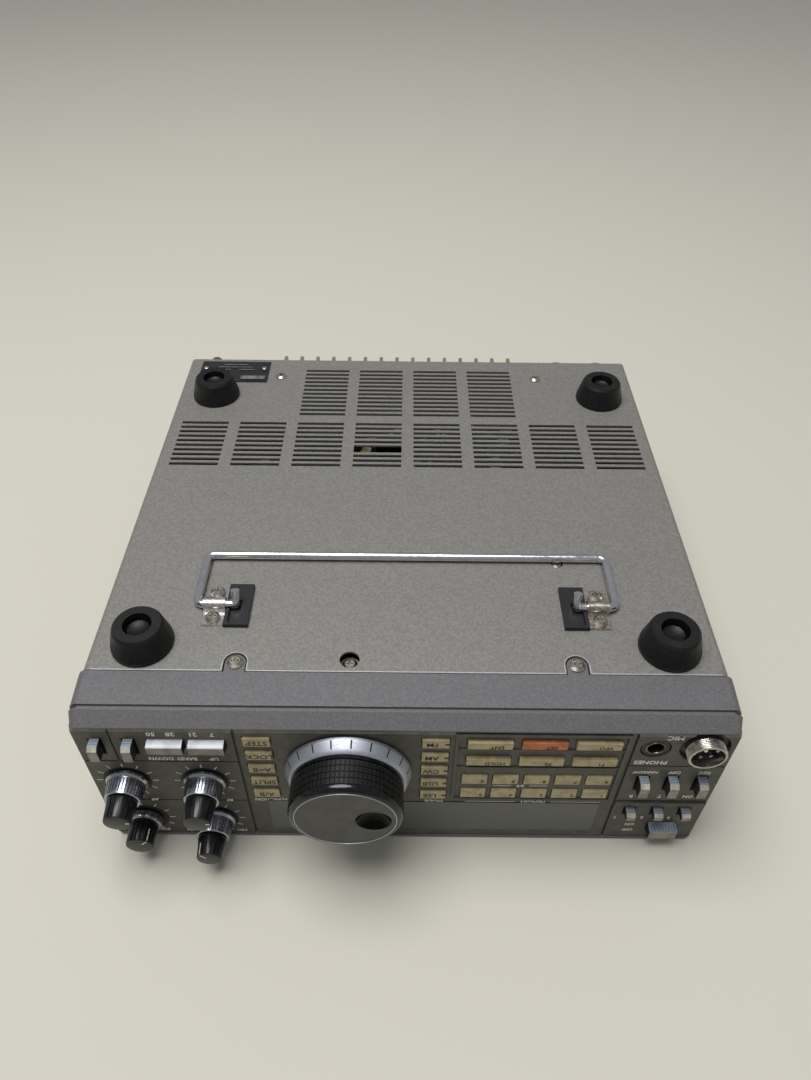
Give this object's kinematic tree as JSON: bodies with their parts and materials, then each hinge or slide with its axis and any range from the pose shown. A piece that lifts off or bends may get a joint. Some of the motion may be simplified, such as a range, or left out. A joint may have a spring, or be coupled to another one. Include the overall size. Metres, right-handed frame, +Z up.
{
  "type": "radio transceiver",
  "caption": "Compact all-band radio transceiver lying on its top cover: vented underside, rubber feet, wire tilt bail, tuning dial, dual knobs, keys, levers and rear heat sink.",
  "frame": {"origin": "middle of the outer face of the top cover, which is the face the set lies on in the picture (the set is upside down)", "axes": "+Z up, out of the underside with its feet and tilt bail; -Y is the front panel; +X is to the right seen from the front. A half turn about Y stands the set on its feet."},
  "size_m": [0.2634, 0.2909, 0.1044],
  "materials": {
    "case_paint": "satin",
    "bezel_paint": "fine texture",
    "panel_plastic": "matt",
    "smoked_window": "gloss",
    "cast_aluminium": "as cast",
    "circuit_board": "satin",
    "speaker": "matt",
    "nickel": "plated",
    "black_rubber": "matt",
    "passivated_steel": "yellow passivated",
    "strap_steel": "plated, tarnished",
    "pad_rubber": "satin",
    "plate_enamel": "printed",
    "chrome_wire": "polished",
    "dial_black": "satin",
    "knob_chrome": "polished",
    "knob_black": "satin",
    "lever_plastic": "satin",
    "band_key_plastic": "satin",
    "key_beige": "matt",
    "key_orange": "matt"
  },
  "bodies": {
    "set": {"bottom_cover": "case_paint", "top_cover": "case_paint", "front_bezel": "bezel_paint", "front_panel": "panel_plastic", "display_window": "smoked_window", "chassis": "cast_aluminium", "circuit_boards": "circuit_board", "loudspeaker": "speaker", "sockets": "nickel", "feet": "black_rubber", "screws": "passivated_steel", "bail_straps": "strap_steel", "bail_pads": "pad_rubber", "type_plate": "plate_enamel"},
    "bail": {"bail": "chrome_wire"},
    "tuning_dial": {"tuning_dial": "dial_black"},
    "squelch_knob": {"squelch_knob": "knob_chrome"},
    "volume_knob": {"volume_knob": "knob_black"},
    "sub_squelch_knob": {"sub_squelch_knob": "knob_chrome"},
    "sub_volume_knob": {"sub_volume_knob": "knob_black"},
    "shift_knob": {"shift_knob": "knob_black"},
    "shuttle_ring": {"shuttle_ring": "knob_chrome"},
    "channel_knob": {"channel_knob": "knob_black"},
    "power_button": {"power_button": "lever_plastic"},
    "band_key_1": {"band_key_1": "band_key_plastic"},
    "band_key_2": {"band_key_2": "band_key_plastic"},
    "lever_left_1": {"lever_left_1": "lever_plastic"},
    "lever_left_2": {"lever_left_2": "lever_plastic"},
    "lever_upper_1": {"lever_upper_1": "lever_plastic"},
    "lever_upper_2": {"lever_upper_2": "lever_plastic"},
    "lever_upper_3": {"lever_upper_3": "lever_plastic"},
    "lever_lower_1": {"lever_lower_1": "lever_plastic"},
    "lever_lower_2": {"lever_lower_2": "lever_plastic"},
    "lever_lower_3": {"lever_lower_3": "lever_plastic"},
    "mode_key_1": {"mode_key_1": "key_beige"},
    "mode_key_2": {"mode_key_2": "key_beige"},
    "mode_key_3": {"mode_key_3": "key_beige"},
    "mode_key_4": {"mode_key_4": "key_beige"},
    "mode_key_5": {"mode_key_5": "key_beige"},
    "func_key_1": {"func_key_1": "key_beige"},
    "func_key_2": {"func_key_2": "key_beige"},
    "func_key_3": {"func_key_3": "key_beige"},
    "func_key_4": {"func_key_4": "key_beige"},
    "func_key_5": {"func_key_5": "key_beige"},
    "big_key_1": {"big_key_1": "key_beige"},
    "big_key_2": {"big_key_2": "key_orange"},
    "big_key_3": {"big_key_3": "key_beige"},
    "big_key_4": {"big_key_4": "key_beige"},
    "big_key_5": {"big_key_5": "key_beige"},
    "big_key_6": {"big_key_6": "key_beige"},
    "digit_key_1": {"digit_key_1": "key_beige"},
    "digit_key_2": {"digit_key_2": "key_beige"},
    "digit_key_3": {"digit_key_3": "key_beige"},
    "digit_key_4": {"digit_key_4": "key_beige"},
    "digit_key_5": {"digit_key_5": "key_beige"},
    "digit_key_6": {"digit_key_6": "key_beige"},
    "digit_key_7": {"digit_key_7": "key_beige"},
    "digit_key_8": {"digit_key_8": "key_beige"},
    "digit_key_9": {"digit_key_9": "key_beige"},
    "digit_key_0": {"digit_key_0": "key_beige"}
  },
  "joints": [
    {"name": "bail_hinge", "type": "hinge", "parent": "set", "child": "bail", "pos_m": [0, -0.0698, 0.0946], "axis": [1, 0, 0], "range_deg": [0, 110]},
    {"name": "tuning_dial_turn", "type": "hinge", "parent": "set", "child": "tuning_dial", "pos_m": [-0.0232, -0.127, 0.0581], "axis": [0, 1, 0], "continuous": true},
    {"name": "squelch_knob_turn", "type": "hinge", "parent": "set", "child": "squelch_knob", "pos_m": [-0.1155, -0.127, 0.0482], "axis": [0, 1, 0], "range_deg": [-150, 150]},
    {"name": "volume_knob_turn", "type": "hinge", "parent": "set", "child": "volume_knob", "pos_m": [-0.1155, -0.127, 0.0482], "axis": [0, 1, 0], "range_deg": [-150, 150]},
    {"name": "sub_squelch_knob_turn", "type": "hinge", "parent": "set", "child": "sub_squelch_knob", "pos_m": [-0.0833, -0.127, 0.0482], "axis": [0, 1, 0], "range_deg": [-150, 150]},
    {"name": "sub_volume_knob_turn", "type": "hinge", "parent": "set", "child": "sub_volume_knob", "pos_m": [-0.0833, -0.127, 0.0482], "axis": [0, 1, 0], "range_deg": [-150, 150]},
    {"name": "shift_knob_turn", "type": "hinge", "parent": "set", "child": "shift_knob", "pos_m": [-0.1145, -0.127, 0.0165], "axis": [0, 1, 0], "range_deg": [-150, 150]},
    {"name": "shuttle_ring_turn", "type": "hinge", "parent": "set", "child": "shuttle_ring", "pos_m": [-0.0836, -0.127, 0.0163], "axis": [0, 1, 0], "range_deg": [-60, 60], "stiffness_Nm_per_rad": 0.02},
    {"name": "channel_knob_turn", "type": "hinge", "parent": "set", "child": "channel_knob", "pos_m": [-0.0836, -0.127, 0.0163], "axis": [0, 1, 0], "continuous": true},
    {"name": "lever_left_1_slide", "type": "slide", "parent": "set", "child": "lever_left_1", "axis": [0, 0, 1], "range_m": [-0.0022, 0]},
    {"name": "lever_left_2_slide", "type": "slide", "parent": "set", "child": "lever_left_2", "axis": [0, 0, 1], "range_m": [-0.0022, 0]},
    {"name": "lever_upper_1_slide", "type": "slide", "parent": "set", "child": "lever_upper_1", "axis": [0, 0, 1], "range_m": [-0.0022, 0]},
    {"name": "lever_upper_2_slide", "type": "slide", "parent": "set", "child": "lever_upper_2", "axis": [0, 0, 1], "range_m": [-0.0022, 0]},
    {"name": "lever_upper_3_slide", "type": "slide", "parent": "set", "child": "lever_upper_3", "axis": [0, 0, 1], "range_m": [-0.0022, 0]},
    {"name": "lever_lower_1_slide", "type": "slide", "parent": "set", "child": "lever_lower_1", "axis": [0, 0, 1], "range_m": [-0.0022, 0]},
    {"name": "lever_lower_2_slide", "type": "slide", "parent": "set", "child": "lever_lower_2", "axis": [0, 0, 1], "range_m": [-0.0022, 0]},
    {"name": "lever_lower_3_slide", "type": "slide", "parent": "set", "child": "lever_lower_3", "axis": [0, 0, 1], "range_m": [-0.0022, 0]},
    {"name": "power_button_press", "type": "slide", "parent": "set", "child": "power_button", "axis": [0, 1, 0], "range_m": [0, 0.003], "stiffness_N_per_m": 400},
    {"name": "band_key_1_press", "type": "slide", "parent": "set", "child": "band_key_1", "axis": [0, 1, 0], "range_m": [0, 0.0012], "stiffness_N_per_m": 500},
    {"name": "band_key_2_press", "type": "slide", "parent": "set", "child": "band_key_2", "axis": [0, 1, 0], "range_m": [0, 0.0012], "stiffness_N_per_m": 500},
    {"name": "mode_key_1_press", "type": "slide", "parent": "set", "child": "mode_key_1", "axis": [0, 1, 0], "range_m": [0, 0.0012], "stiffness_N_per_m": 500},
    {"name": "mode_key_2_press", "type": "slide", "parent": "set", "child": "mode_key_2", "axis": [0, 1, 0], "range_m": [0, 0.0012], "stiffness_N_per_m": 500},
    {"name": "mode_key_3_press", "type": "slide", "parent": "set", "child": "mode_key_3", "axis": [0, 1, 0], "range_m": [0, 0.0012], "stiffness_N_per_m": 500},
    {"name": "mode_key_4_press", "type": "slide", "parent": "set", "child": "mode_key_4", "axis": [0, 1, 0], "range_m": [0, 0.0012], "stiffness_N_per_m": 500},
    {"name": "mode_key_5_press", "type": "slide", "parent": "set", "child": "mode_key_5", "axis": [0, 1, 0], "range_m": [0, 0.0012], "stiffness_N_per_m": 500},
    {"name": "func_key_1_press", "type": "slide", "parent": "set", "child": "func_key_1", "axis": [0, 1, 0], "range_m": [0, 0.0012], "stiffness_N_per_m": 500},
    {"name": "func_key_2_press", "type": "slide", "parent": "set", "child": "func_key_2", "axis": [0, 1, 0], "range_m": [0, 0.0012], "stiffness_N_per_m": 500},
    {"name": "func_key_3_press", "type": "slide", "parent": "set", "child": "func_key_3", "axis": [0, 1, 0], "range_m": [0, 0.0012], "stiffness_N_per_m": 500},
    {"name": "func_key_4_press", "type": "slide", "parent": "set", "child": "func_key_4", "axis": [0, 1, 0], "range_m": [0, 0.0012], "stiffness_N_per_m": 500},
    {"name": "func_key_5_press", "type": "slide", "parent": "set", "child": "func_key_5", "axis": [0, 1, 0], "range_m": [0, 0.0012], "stiffness_N_per_m": 500},
    {"name": "big_key_1_press", "type": "slide", "parent": "set", "child": "big_key_1", "axis": [0, 1, 0], "range_m": [0, 0.0012], "stiffness_N_per_m": 500},
    {"name": "big_key_2_press", "type": "slide", "parent": "set", "child": "big_key_2", "axis": [0, 1, 0], "range_m": [0, 0.0012], "stiffness_N_per_m": 500},
    {"name": "big_key_3_press", "type": "slide", "parent": "set", "child": "big_key_3", "axis": [0, 1, 0], "range_m": [0, 0.0012], "stiffness_N_per_m": 500},
    {"name": "big_key_4_press", "type": "slide", "parent": "set", "child": "big_key_4", "axis": [0, 1, 0], "range_m": [0, 0.0012], "stiffness_N_per_m": 500},
    {"name": "big_key_5_press", "type": "slide", "parent": "set", "child": "big_key_5", "axis": [0, 1, 0], "range_m": [0, 0.0012], "stiffness_N_per_m": 500},
    {"name": "big_key_6_press", "type": "slide", "parent": "set", "child": "big_key_6", "axis": [0, 1, 0], "range_m": [0, 0.0012], "stiffness_N_per_m": 500},
    {"name": "digit_key_1_press", "type": "slide", "parent": "set", "child": "digit_key_1", "axis": [0, 1, 0], "range_m": [0, 0.0012], "stiffness_N_per_m": 500},
    {"name": "digit_key_2_press", "type": "slide", "parent": "set", "child": "digit_key_2", "axis": [0, 1, 0], "range_m": [0, 0.0012], "stiffness_N_per_m": 500},
    {"name": "digit_key_3_press", "type": "slide", "parent": "set", "child": "digit_key_3", "axis": [0, 1, 0], "range_m": [0, 0.0012], "stiffness_N_per_m": 500},
    {"name": "digit_key_4_press", "type": "slide", "parent": "set", "child": "digit_key_4", "axis": [0, 1, 0], "range_m": [0, 0.0012], "stiffness_N_per_m": 500},
    {"name": "digit_key_5_press", "type": "slide", "parent": "set", "child": "digit_key_5", "axis": [0, 1, 0], "range_m": [0, 0.0012], "stiffness_N_per_m": 500},
    {"name": "digit_key_6_press", "type": "slide", "parent": "set", "child": "digit_key_6", "axis": [0, 1, 0], "range_m": [0, 0.0012], "stiffness_N_per_m": 500},
    {"name": "digit_key_7_press", "type": "slide", "parent": "set", "child": "digit_key_7", "axis": [0, 1, 0], "range_m": [0, 0.0012], "stiffness_N_per_m": 500},
    {"name": "digit_key_8_press", "type": "slide", "parent": "set", "child": "digit_key_8", "axis": [0, 1, 0], "range_m": [0, 0.0012], "stiffness_N_per_m": 500},
    {"name": "digit_key_9_press", "type": "slide", "parent": "set", "child": "digit_key_9", "axis": [0, 1, 0], "range_m": [0, 0.0012], "stiffness_N_per_m": 500},
    {"name": "digit_key_0_press", "type": "slide", "parent": "set", "child": "digit_key_0", "axis": [0, 1, 0], "range_m": [0, 0.0012], "stiffness_N_per_m": 500}
  ]
}
